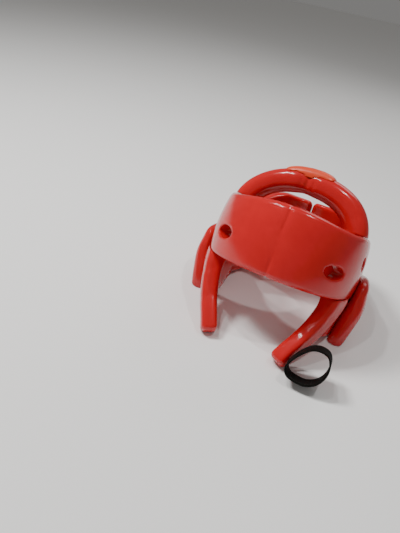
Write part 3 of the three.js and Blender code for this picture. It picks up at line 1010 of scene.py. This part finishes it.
@dataclass
class RearHalf:
    """One rear half, whose top edge is rolled into a thicker rim."""

    band: ForeheadBand
    side: Side
    top_height: float = 106.0
    rim_radius: float = 13.0
    side_drop: float = 30.0
    rear_drop: float = 0.0
    cleft: float = 1.2
    bottom_run_in: float = 8.0
    bottom_end_turn: float = 165.0
    top_end_turn: float = 150.0
    rim_run_in: float = 4.0
    rim_full_turn: float = 135.0
    rim_shares: tuple[float, float] = (0.72, 0.84)
    cutter_end_turn: float = 138.0

    def bottom(self, turn: float) -> float:
        """Height of the lower edge."""
        share = smooth_step(self.band.half_turn + self.bottom_run_in, self.bottom_end_turn, abs(turn))
        return -self.side_drop + (self.side_drop - self.rear_drop) * share

    def top(self, turn: float) -> float:
        """Height of the upper edge."""
        start = self.band.top(self.band.half_turn)
        share = smooth_step(self.band.half_turn, self.top_end_turn, abs(turn))
        return start + (self.top_height - start) * share

    def swell(self, turn: float, share: np.ndarray, depth: np.ndarray) -> np.ndarray:
        """How far the rolled rim stands out of the wall."""
        grow = smooth_step(self.band.half_turn + self.rim_run_in, self.rim_full_turn, abs(turn))
        rim = (2 * self.rim_radius - FORM.foam) * grow * smooth_step(*self.rim_shares, share)
        return rim * (depth - 0.5)

    def build(self, finishes: Finishes) -> None:
        """Makes the half."""
        name = self.side.node("back_wing")
        near = self.band.half_turn + math.degrees(FORM.gap / FORM.half_length)
        far = 180 - math.degrees(self.cleft / 2 / FORM.half_length)
        start, end = self.side.turns(near, far)
        piece = new_object(f"{name}_foam", FoamWall(
            start, end, self.bottom, self.top, swell=self.swell, steps=60, side_steps=24,
        ).solid())
        finish_foam(piece, finishes.foam, name, 1.5, 4)

    def cutter(self, margin: float) -> Solid:
        """The half's outline with a margin, which the side panel is cut to."""
        start, end = self.side.turns(self.band.half_turn - margin, self.cutter_end_turn)
        return FoamWall(start, end, lambda turn: self.bottom(turn) - margin, self.top,
                        inner=-FORM.foam, depth=3 * FORM.foam).solid()


@dataclass
class CheekGuard:
    """The side panel under the band, and the jaw arm that runs forward and down from it."""

    band: ForeheadBand
    wing: RearHalf
    side: Side
    drop: float = 56.0
    front_turn: float = 64.0
    rear_turn: float = 118.0
    extra_padding: float = 14.0
    arm_thickness: float = 20.0
    arm_twist: float = 25.0
    tip_half_width: float = 44.5
    # Sections of the arm: place across, place forward, drop, own width and own thickness, as shares
    sections: tuple[tuple[float, float, float, float, float], ...] = (
        (0.93, 0.4, -0.12, 1.75, 1.8), (0.985, 0.45, 0.03, 1.4, 1.7), (0.965, 0.53, 0.2, 1.2, 1.55),
        (0.89, 0.635, 0.42, 1.12, 1.4), (0.775, 0.75, 0.64, 1.08, 1.28), (0.65, 0.845, 0.84, 1.05, 1.2),
    )
    tip_wide: float = 1.05
    tip_deep: float = 1.15
    arm_squareness: float = 0.56
    arm_end_radius: float = 5.6
    front_lift: float = 0.75
    rear_lift: float = 0.55
    rear_run_in: float = 6.0
    padding_run_in: float = 8.0

    def arm_line(self) -> list[Vector]:
        """Middle line of the jaw arm, as even points along a smooth curve."""
        places = [Vector((
            self.side.value * FORM.half_width * width, -FORM.half_length * forward, -REST.tip_drop * drop,
        )) for width, forward, drop, _, _ in self.sections]
        places.append(Vector((self.side.value * self.tip_half_width, -REST.tip_forward, -REST.tip_drop)))
        return smooth_line(places, 40, closed=False)

    def arm(self, margin: float) -> Solid:
        """The jaw arm's bar."""
        line = self.arm_line()
        drops = [row[2] for row in self.sections] + [1.0]
        wides = [row[3] for row in self.sections] + [self.tip_wide]
        deeps = [row[4] for row in self.sections] + [self.tip_deep]
        rows = []
        for number, middle in enumerate(line):
            ahead = (line[min(number + 1, len(line) - 1)] - line[max(number - 1, 0)]).normalized()
            across = ahead.cross(Vector((0, 1, 0))).normalized()
            through = across.cross(ahead).normalized()
            twist = Quaternion(ahead, self.side.value * math.radians(self.arm_twist))
            drop = -middle.z / REST.tip_drop
            wide = float(smooth_table(drops, wides, drop))
            deep = float(smooth_table(drops, deeps, drop))
            rows.append(BarRow(middle, twist @ across, twist @ through, REST.arm_width * wide + 2 * margin,
                               self.arm_thickness * deep + 2 * margin))
        return bar_solid(rows, self.arm_squareness, self.arm_end_radius, sides=64)

    def panel(self) -> Solid:
        """The side panel's wall, padded inwards towards the ear."""
        guard_turn = REST.guard_turn

        def bottom(turn: float) -> float:
            """Height of the lower edge, lifted at the front and the rear."""
            spread = abs(turn) - self.front_turn
            front = self.front_lift * (1 - smooth_step(0, guard_turn - self.front_turn, spread)) ** 2
            rear = self.rear_lift * smooth_step(guard_turn + self.rear_run_in, self.rear_turn, abs(turn))
            return self.drop * (front + rear - 1)

        def swell(turn: float, share: np.ndarray, depth: np.ndarray) -> np.ndarray:
            """How far the inner side stands in, fullest at the top."""
            grow = smooth_step(self.front_turn, guard_turn + self.padding_run_in, abs(turn))
            return -self.extra_padding * grow * smooth_step(0, 1, share) * (1 - depth)

        start, end = self.side.turns(self.front_turn, self.rear_turn)
        return FoamWall(start, end, bottom, lambda turn: -FORM.gap, swell=swell, steps=50).solid()

    def build(self, finishes: Finishes, ear_hole: Solid) -> None:
        """Makes the cheek guard.

        Args:
            finishes: The headgear's finishes.
            ear_hole: The prism of the ear hole.
        """
        name = self.side.node("cheek_guard")
        piece = new_object(f"{name}_foam", self.panel())
        carve(piece, self.arm(0.0), "UNION")
        for solid in (self.band.wall(FORM.gap), self.wing.cutter(FORM.gap), ear_hole):
            carve(piece, solid, "DIFFERENCE")
        trim_at_rest(piece)
        sign = self.side.value
        finish_foam(piece, finishes.foam, name, 1.2, 9, [
            Crease((sign * 78, -66, -22), (0.3, 0.9, 0.2), (sign * 0.5, 0, 0.8), 12, 4.0, 0.5),
            Crease((sign * 64, -84, -52), (0.3, 0.9, 0.2), (sign * 0.7, 0, 0.7), 10, 4.0, 0.35),
        ])


@dataclass
class EarGuard:
    """The thick plate over the ear, with rounded upper corners and a flat bottom."""

    band: ForeheadBand
    side: Side
    thickness: float = 20.0
    dome: float = 3.0
    taper: float = 6.0
    rear_turn: float = 127.0
    top_height: float = 33.0
    corner_turn: float = 19.0
    corner_fall: float = 0.62
    heel_turn: float = 7.0
    heel_rise: float = 2.2
    edge: float = 9.0
    hole_width: float = 24.0
    hole_height: float = 30.0
    hole_turn: float = 95.0
    hole_drop: float = 22.0

    def hole(self) -> Solid:
        """The ear hole's prism, straight across."""
        place = FORM.point(self.side.value * self.hole_turn, -self.hole_drop, FORM.foam)
        return oval_prism(place, Vector((0, 1, 0)), Vector((0, 0, 1)), Vector((1, 0, 0)),
                          self.hole_width, self.hole_height, 5 * FORM.foam)

    def swell(self, turn: float, share: np.ndarray, depth: np.ndarray) -> np.ndarray:
        """How far the outer side stands out: domed, and drawn in towards the top edge."""
        rise = np.clip(share, 0, 1)
        return depth * (self.dome * np.sin(math.pi * rise) - self.taper * smooth_step(0.5, 1, rise))

    def plate(self) -> Solid:
        """The guard's wall before it is cut."""
        front_turn = REST.guard_turn

        def corner(turn: float) -> float:
            """How far the upper edge comes down at the corners."""
            front = 1 - min((abs(turn) - front_turn) / self.corner_turn, 1)
            rear = 1 - min((self.rear_turn - abs(turn)) / self.corner_turn, 1)
            return 1 - math.sqrt(1 - min(max(front, rear, 0), 1) ** 2)

        def heel(turn: float) -> float:
            """How far the lower edge comes up at the front."""
            share = max(1 - (abs(turn) - front_turn) / self.heel_turn, 0)
            return 1 - math.sqrt(1 - min(share, 1) ** 2)

        def bottom(turn: float) -> float:
            """Height of the lower edge, just under the rest plane."""
            back = FORM.point(turn, -REST.guard_drop, FORM.foam).y
            return REST.height_at(back) - self.edge + self.edge * self.heel_rise * heel(turn)

        start, end = self.side.turns(front_turn, self.rear_turn)
        return FoamWall(
            start, end, bottom, lambda turn: self.top_height * (1 - self.corner_fall * corner(turn)),
            inner=FORM.foam + FORM.gap, depth=self.thickness, radius=self.edge, steps=50,
            swell=self.swell,
        ).solid()

    def build(self, finishes: Finishes) -> None:
        """Makes the guard."""
        name = self.side.node("ear_guard")
        piece = new_object(f"{name}_foam", self.plate())
        for solid in (self.hole(), self.band.wall(FORM.gap)):
            carve(piece, solid, "DIFFERENCE")
        trim_at_rest(piece)
        finish_foam(piece, finishes.foam, name, 1.4, 4)


def smooth_line(places: Sequence[Vector], steps: int, closed: bool) -> list[Vector]:
    """Even points along a smooth curve through places.

    Args:
        places: Points that the curve passes through.
        steps: Number of stretches to return.
        closed: Whether the curve joins its start.

    Returns:
        The points, one more than the steps unless closed.
    """
    count = len(places)
    fine: list[Vector] = []
    per_place = 40
    spans = count if closed else count - 1

    def at(index: int) -> Vector:
        """A place, wrapped round or carried past the ends."""
        if closed:
            return places[index % count]
        if index < 0:
            return places[0] * 2 - places[1]
        if index >= count:
            return places[-1] * 2 - places[-2]
        return places[index]

    for span in range(spans):
        for step in range(per_place):
            share = step / per_place
            before, start, end, after = (at(span + shift) for shift in (-1, 0, 1, 2))
            fine.append(0.5 * (
                2 * start + (end - before) * share
                + (2 * before - 5 * start + 4 * end - after) * share ** 2
                + (3 * start - before - 3 * end + after) * share ** 3
            ))
    fine.append(places[0].copy() if closed else places[-1].copy())
    lengths = [0.0]
    for first, second in zip(fine, fine[1:]):
        lengths.append(lengths[-1] + (second - first).length)
    wanted = np.linspace(0, lengths[-1], steps + 1)
    result = [Vector([float(np.interp(place, lengths, [p[axis] for p in fine])) for axis in range(3)])
              for place in wanted]
    return result[:-1] if closed else result


@dataclass
class WebbingLoop:
    """A flat strip of webbing with rounded selvedges, closed along a line; sizes in millimetres."""

    name: str
    line: list[Vector]
    widthway: Vector
    width: float
    thickness: float
    selvedge: float = 0.9
    across_steps: int = 8

    @property
    def length(self) -> float:
        """Length once round its middle line."""
        return sum((self.line[number] - self.line[number - 1]).length for number in range(len(self.line)))

    def frames(self) -> list[tuple[Vector, Vector]]:
        """Middle and thickness direction at each point of the line."""
        count = len(self.line)
        result = []
        for number, middle in enumerate(self.line):
            ahead = self.line[(number + 1) % count] - self.line[number - 1]
            result.append((middle, ahead.normalized().cross(self.widthway).normalized()))
        return result

    def build(self) -> bpy.types.Object:
        """Makes the strip, with a UV map in metres along and across it."""
        half, thin = self.width / 2, self.thickness / 2
        edge = min(thin, self.selvedge)
        outline: list[tuple[float, float]] = []
        for sign in (1, -1):
            outline += [(sign * (half - edge) * (1 - 2 * step / self.across_steps), sign * thin)
                        for step in range(self.across_steps + 1)]
            outline += [(-sign * (half - edge * 0.3), sign * thin * 0.6), (-sign * half, 0.0)]
        rings = [[list(middle + self.widthway * u + through * v) for u, v in outline]
                 for middle, through in self.frames()]
        piece = new_object(self.name, ring_solid(np.array(rings), closed=True))
        mesh = piece.data
        layer = mesh.uv_layers.new(name="strip")
        sides = len(outline)
        total = len(self.line)
        step_length = self.length / total
        for polygon in mesh.polygons:
            rows = [mesh.loops[loop].vertex_index // sides for loop in polygon.loop_indices]
            wraps = max(rows) - min(rows) > 1
            for loop, row in zip(polygon.loop_indices, rows):
                along = (row + total if wraps and row == 0 else row) * step_length
                across_place = outline[mesh.loops[loop].vertex_index % sides][0]
                layer.data[loop].uv = (along * MM, across_place * MM)
            polygon.use_smooth = True
        mesh.update()
        return piece


# Stitches, in millimetres
STITCH = {"Spacing": 3.2, "Length": 2.5, "Thickness": 0.8}


def stitch_tree(material: bpy.types.Material) -> bpy.types.NodeTree:
    """Geometry nodes that lay a row of stitches along the edges of a mesh.

    Args:
        material: The thread's finish.

    Returns:
        The node group, with the stitch's spacing, length and thickness as inputs.
    """
    tree = bpy.data.node_groups.new("stitch_row", "GeometryNodeTree")
    tree.interface.new_socket("Geometry", in_out="INPUT", socket_type="NodeSocketGeometry")
    for name in STITCH:
        tree.interface.new_socket(name, in_out="INPUT", socket_type="NodeSocketFloat")
    tree.interface.new_socket("Geometry", in_out="OUTPUT", socket_type="NodeSocketGeometry")
    entry = add_node(tree, "NodeGroupInput")
    path = add_node(tree, "GeometryNodeMeshToCurve", inputs={"Mesh": entry.outputs["Geometry"]})
    points = add_node(tree, "GeometryNodeCurveToPoints", {"mode": "LENGTH"}, {
        "Curve": path.outputs["Curve"], "Length": entry.outputs["Spacing"],
    })
    stitch = add_node(tree, "GeometryNodeMeshUVSphere", inputs={"Segments": 8, "Rings": 6, "Radius": 0.5})
    size = add_node(tree, "ShaderNodeCombineXYZ", inputs={
        "X": entry.outputs["Thickness"], "Y": entry.outputs["Thickness"], "Z": entry.outputs["Length"],
    })
    scaled = add_node(tree, "GeometryNodeTransform", inputs={
        "Geometry": stitch.outputs["Mesh"], "Scale": size.outputs["Vector"],
    })
    laid = add_node(tree, "GeometryNodeInstanceOnPoints", inputs={
        "Points": points.outputs["Points"], "Instance": scaled.outputs["Geometry"],
        "Rotation": points.outputs["Rotation"],
    })
    real = add_node(tree, "GeometryNodeRealizeInstances", inputs={"Geometry": laid.outputs["Instances"]})
    dressed = add_node(tree, "GeometryNodeSetMaterial", inputs={
        "Geometry": real.outputs["Geometry"], "Material": material,
    })
    add_node(tree, "NodeGroupOutput", inputs={"Geometry": dressed.outputs["Geometry"]})
    return tree


def stitch_rows(name: str, rows: Sequence[list[Vector]], material: bpy.types.Material) -> None:
    """Lays stitches along lines and makes them one plain mesh that goes with the webbing.

    Args:
        name: Name of the piece.
        rows: Lines in the head frame, in millimetres.
        material: The thread's finish.
    """
    points: list[Vector] = []
    edges: list[tuple[int, int]] = []
    for row in rows:
        start = len(points)
        points += [PLACE.vector(point) for point in row]
        edges += [(start + step, start + step + 1) for step in range(len(row) - 1)]
    mesh = bpy.data.meshes.new(name)
    mesh.from_pydata([list(point) for point in points], edges, [])
    piece = bpy.data.objects.new(name, mesh)
    bpy.context.scene.collection.objects.link(piece)
    tree = stitch_tree(material)
    modifier = piece.modifiers.new("stitches", "NODES")
    modifier.node_group = tree
    sizes = {name: size * MM for name, size in STITCH.items()}
    for item in tree.interface.items_tree:
        if item.in_out == "INPUT" and item.name in sizes:
            modifier[item.identifier] = sizes[item.name]
    settle(piece)
    piece.data.polygons.foreach_set("use_smooth", [True] * len(piece.data.polygons))
    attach(piece, ROOT_BODY)


@dataclass
class ChinStrap:
    """The webbing loop on the wearer's left jaw arm, with rows of stitches over one stretch of it."""

    cheek: CheekGuard
    width: float = 25.0
    thickness: float = 2.4
    loop_width: float = 45.0
    loop_height: float = 44.0
    lean_share: float = 0.05
    aside: float = 0.7
    ahead: float = 0.5
    # The stretch that is stitched, as shares of the way round
    sewn: tuple[float, float] = (0.72, 0.9)
    seam_inset: float = 2.6
    # Middle line, as shares of its width and height from its lowest inner corner
    places: tuple[tuple[float, float], ...] = (
        (0.0, 0.26), (0.1, 0.52), (0.26, 0.76), (0.45, 0.94), (0.68, 1.0), (0.89, 0.93),
        (0.99, 0.7), (0.98, 0.42), (0.84, 0.16), (0.6, 0.01), (0.33, 0.0), (0.1, 0.07),
    )

    @property
    def lean(self) -> float:
        """Lean of the loop's plane in the head frame."""
        return REST.lean * self.lean_share

    def line(self, steps: int) -> list[Vector]:
        """Middle line of the loop."""
        up = Vector((0, -math.sin(self.lean), math.cos(self.lean)))
        lift = math.sin(REST.lean - self.lean) * self.width / 2 + self.thickness / 2 + 4 * FORM.gap
        across = self.cheek.tip_half_width + REST.arm_width * self.aside
        corner = REST.point(across, -self.width * self.ahead, lift)
        places = [corner + Vector((self.loop_width * share, 0, 0)) + up * (self.loop_height * rise)
                  for share, rise in self.places]
        return smooth_line(places, steps, closed=True)

    def build(self, finishes: Finishes) -> None:
        """Makes the loop and the stitches over its stitched stretch."""
        steps = 180
        across = Vector((0, math.cos(self.lean), math.sin(self.lean)))
        loop = WebbingLoop("chin_strap_webbing", self.line(steps), across, self.width, self.thickness - 0.3)
        piece = loop.build()
        carve(piece, self.cheek.arm(FORM.gap), "DIFFERENCE")
        dress(piece, finishes.webbing, "chin_strap")
        LOG.info("webbing loop: %.0f mm round by %.0f mm", loop.length, self.width)
        loop.length * MM
        frames = loop.frames()
        inward = -1 if frames[0][1].x < 0 else 1

        def on_face(number: int, aside: float) -> Vector:
            """A place on the loop's inner face, a distance aside of its middle line."""
            middle, through = frames[number]
            return middle + across * aside + through * (inward * (self.thickness / 2 - 0.1))

        first, last = (int(steps * share) for share in self.sewn)
        reach = self.width / 2 - self.seam_inset
        rows = [[on_face(number, edge * reach) for number in range(first, last, 3)] for edge in (-1, 1)]
        rows += [[on_face(number, share * reach) for share in (-1, -0.5, 0, 0.5, 1)]
                 for number in (first, last)]
        stitch_rows("chin_strap_stitches", rows, finishes.thread)


@dataclass
class RearBand:
    """The plain band that closes the rear over the cleft."""

    half_turn: float = 30.0
    height: float = 42.0
    width: float = 40.0
    thickness: float = 3.0
    steps: int = 120
    across_steps: int = 16
    seam_turns: tuple[float, float] = (3.0, 6.0)
    seam_inset: float = 3.0

    def curve(self, step: int, heights: np.ndarray, outside: float) -> np.ndarray:
        """Points of one step along the band, a distance outside the rear halves."""
        turn = 180 + self.half_turn * (2 * step / self.steps - 1)
        return FORM.points(turn, heights, np.full_like(heights, FORM.foam + 2 * FORM.gap + outside))

    def length(self) -> float:
        """Length along its middle."""
        height = np.array([self.height])
        line = [self.curve(step, height, self.thickness / 2)[0] for step in range(self.steps + 1)]
        return float(np.linalg.norm(np.diff(np.array(line), axis=0), axis=1).sum())

    def strip(self) -> bpy.types.Object:
        """The band with a UV map in metres along and across it."""
        heights = self.height + np.linspace(-self.width / 2, self.width / 2, self.across_steps + 1)
        rings = [np.concatenate([
            self.curve(step, heights, self.thickness - 0.2), self.curve(step, heights[::-1], 0.0),
        ]) for step in range(self.steps + 1)]
        piece = new_object("back_strap_webbing", ring_solid(np.array(rings)))
        mesh = piece.data
        layer = mesh.uv_layers.new(name="strip")
        radius = FORM.half_length + FORM.foam
        sides = 2 * (self.across_steps + 1)
        for polygon in mesh.polygons:
            for loop in polygon.loop_indices:
                row, place = divmod(mesh.loops[loop].vertex_index, sides)
                along = math.radians(2 * self.half_turn * row / self.steps) * radius
                side = place if place <= self.across_steps else 2 * self.across_steps + 1 - place
                layer.data[loop].uv = (along * MM, side / self.across_steps * self.width * MM)
        return piece

    def build(self, finishes: Finishes) -> None:
        """Makes the band and two rows of stitches near each end."""
        piece = self.strip()
        soften = piece.modifiers.new("selvedge", "BEVEL")
        soften.width = 0.8 * MM
        soften.segments = 2
        soften.limit_method = "ANGLE"
        settle(piece)
        piece.data.polygons.foreach_set("use_smooth", [True] * len(piece.data.polygons))
        dress(piece, finishes.webbing, "back_strap")
        length = self.length()
        LOG.info("closing band: %.0f mm by %.0f mm", length, self.width)
        reach = self.width / 2 - self.seam_inset
        heights = self.height + np.linspace(-reach, reach, 9)
        outside = np.full_like(heights, FORM.foam + 2 * FORM.gap + self.thickness - 0.1)
        rows = []
        for end in (-1, 1):
            for inset in self.seam_turns:
                turn = 180 + end * (self.half_turn - inset)
                rows.append([Vector(point) for point in FORM.points(turn, heights, outside)])
        stitch_rows("back_strap_stitches", rows, finishes.thread)


@dataclass
class Studio:
    """Pale floor, soft light and a camera at the photograph's viewing angle."""

    yaw: float = 7.0
    elevation: float = 5.0
    roll: float = 20.8
    distance: float = 665.0
    focal_px: float = 485.0
    frame_width: float = 400.0
    frame_height: float = 533.0
    aim_px: tuple[float, float] = (285.0, 258.2)
    aim_height: float = 20.0
    sensor: float = 36.0

    def build(self) -> None:
        """Makes the floor, the lights and the camera."""
        self.floor()
        self.lights()
        self.camera()

    def floor(self) -> None:
        """Wide pale floor under the rest plane, six metres to each side."""
        half = 6.0
        mesh = bpy.data.meshes.new("floor")
        corners = [(-half, -half, 0), (half, -half, 0), (half, half, 0), (-half, half, 0)]
        mesh.from_pydata(corners, [], [(0, 1, 2, 3)])
        mesh.materials.append(StudioPaper().build())
        floor = bpy.data.objects.new("floor", mesh)
        bpy.context.scene.collection.objects.link(floor)

    def lights(self) -> None:
        """A bright even room, a large key from the upper left and small lamps for sharp highlights."""
        world = bpy.data.worlds.new("room")
        world.use_nodes = True
        shade = world.node_tree.nodes["Background"]
        shade.inputs["Color"].default_value = hex_to_linear("#FFFDFA")
        shade.inputs["Strength"].default_value = 0.2
        bpy.context.scene.world = world
        # Name, place and size in metres, power in watts, and whether it is seen in the gloss
        rows = (
            ("key", (-0.95, -0.2, 1.35), 0.3, 19.0, False),
            ("fill", (0.2, -1.5, 0.6), 0.9, 2.2, False),
            ("lamp_left", (-0.55, -0.05, 1.3), 0.05, 3.8, True),
            ("lamp_front", (-0.42, -0.3, 1.45), 0.04, 2.6, True),
            ("lamp_right", (0.32, -0.1, 1.3), 0.04, 3.0, True),
            ("rear", (0.3, 1.3, 1.1), 0.8, 4.0, True),
        )
        target = Vector((0.0, 0.0, 0.09))
        for name, place, size, power, shines in rows:
            lamp = bpy.data.lights.new(name, "AREA")
            lamp.size = size
            lamp.energy = power
            body = bpy.data.objects.new(name, lamp)
            body.location = place
            body.visible_glossy = shines
            body.rotation_mode = "QUATERNION"
            body.rotation_quaternion = (target - Vector(place)).to_track_quat("-Z", "Y")
            bpy.context.scene.collection.objects.link(body)

    def camera(self) -> None:
        """Camera at the photograph's angle, turned aside so that the object keeps its place."""
        yaw, rise, roll = (math.radians(value) for value in (self.yaw, self.elevation, self.roll))
        back = Vector((math.sin(yaw) * math.cos(rise), -math.cos(yaw) * math.cos(rise), math.sin(rise)))
        right = Vector((math.cos(yaw), math.sin(yaw), 0))
        up = back.cross(right)
        rolled_right = right * math.cos(roll) + up * math.sin(roll)
        rolled_up = up * math.cos(roll) - right * math.sin(roll)
        basis = PLACE.turn @ Matrix((rolled_right, rolled_up, back)).transposed()
        aim = Vector((
            self.aim_px[0] - self.frame_width / 2,
            self.frame_height / 2 - self.aim_px[1],
            -self.focal_px,
        )).normalized()
        aside: Quaternion = Vector((0, 0, -1)).rotation_difference(aim)
        target = PLACE.vector(Vector((0, 0, self.aim_height)))
        data = bpy.data.cameras.new("camera")
        data.sensor_width = self.sensor
        data.lens = self.focal_px * self.sensor / self.frame_height
        data.clip_start, data.clip_end = 0.01, 50
        body = bpy.data.objects.new("camera", data)
        body.rotation_mode = "QUATERNION"
        body.rotation_quaternion = basis.to_quaternion() @ aside.inverted()
        body.location = target + PLACE.turn @ back * (self.distance * MM)
        bpy.context.scene.collection.objects.link(body)
        bpy.context.scene.camera = body


def main() -> None:
    """Builds the headgear piece by piece, then the studio round it."""
    logging.basicConfig(level=logging.INFO, format="%(message)s")
    # A fresh Blender scene holds these three
    for name in ("Cube", "Light", "Camera"):
        spare = bpy.data.objects.get(name)
        if spare:
            bpy.data.objects.remove(spare)
    finishes = Finishes()
    band = ForeheadBand()
    band.build(finishes)
    Crown(band).build(finishes)
    cheeks = {}
    for side in Side:
        wing = RearHalf(band, side)
        wing.build(finishes)
        guard = EarGuard(band, side)
        guard.build(finishes)
        cheeks[side] = CheekGuard(band, wing, side)
        cheeks[side].build(finishes, guard.hole())
    ChinStrap(cheeks[Side.LEFT]).build(finishes)
    RearBand().build(finishes)
    Studio().build()


if __name__ == "__main__":
    main()
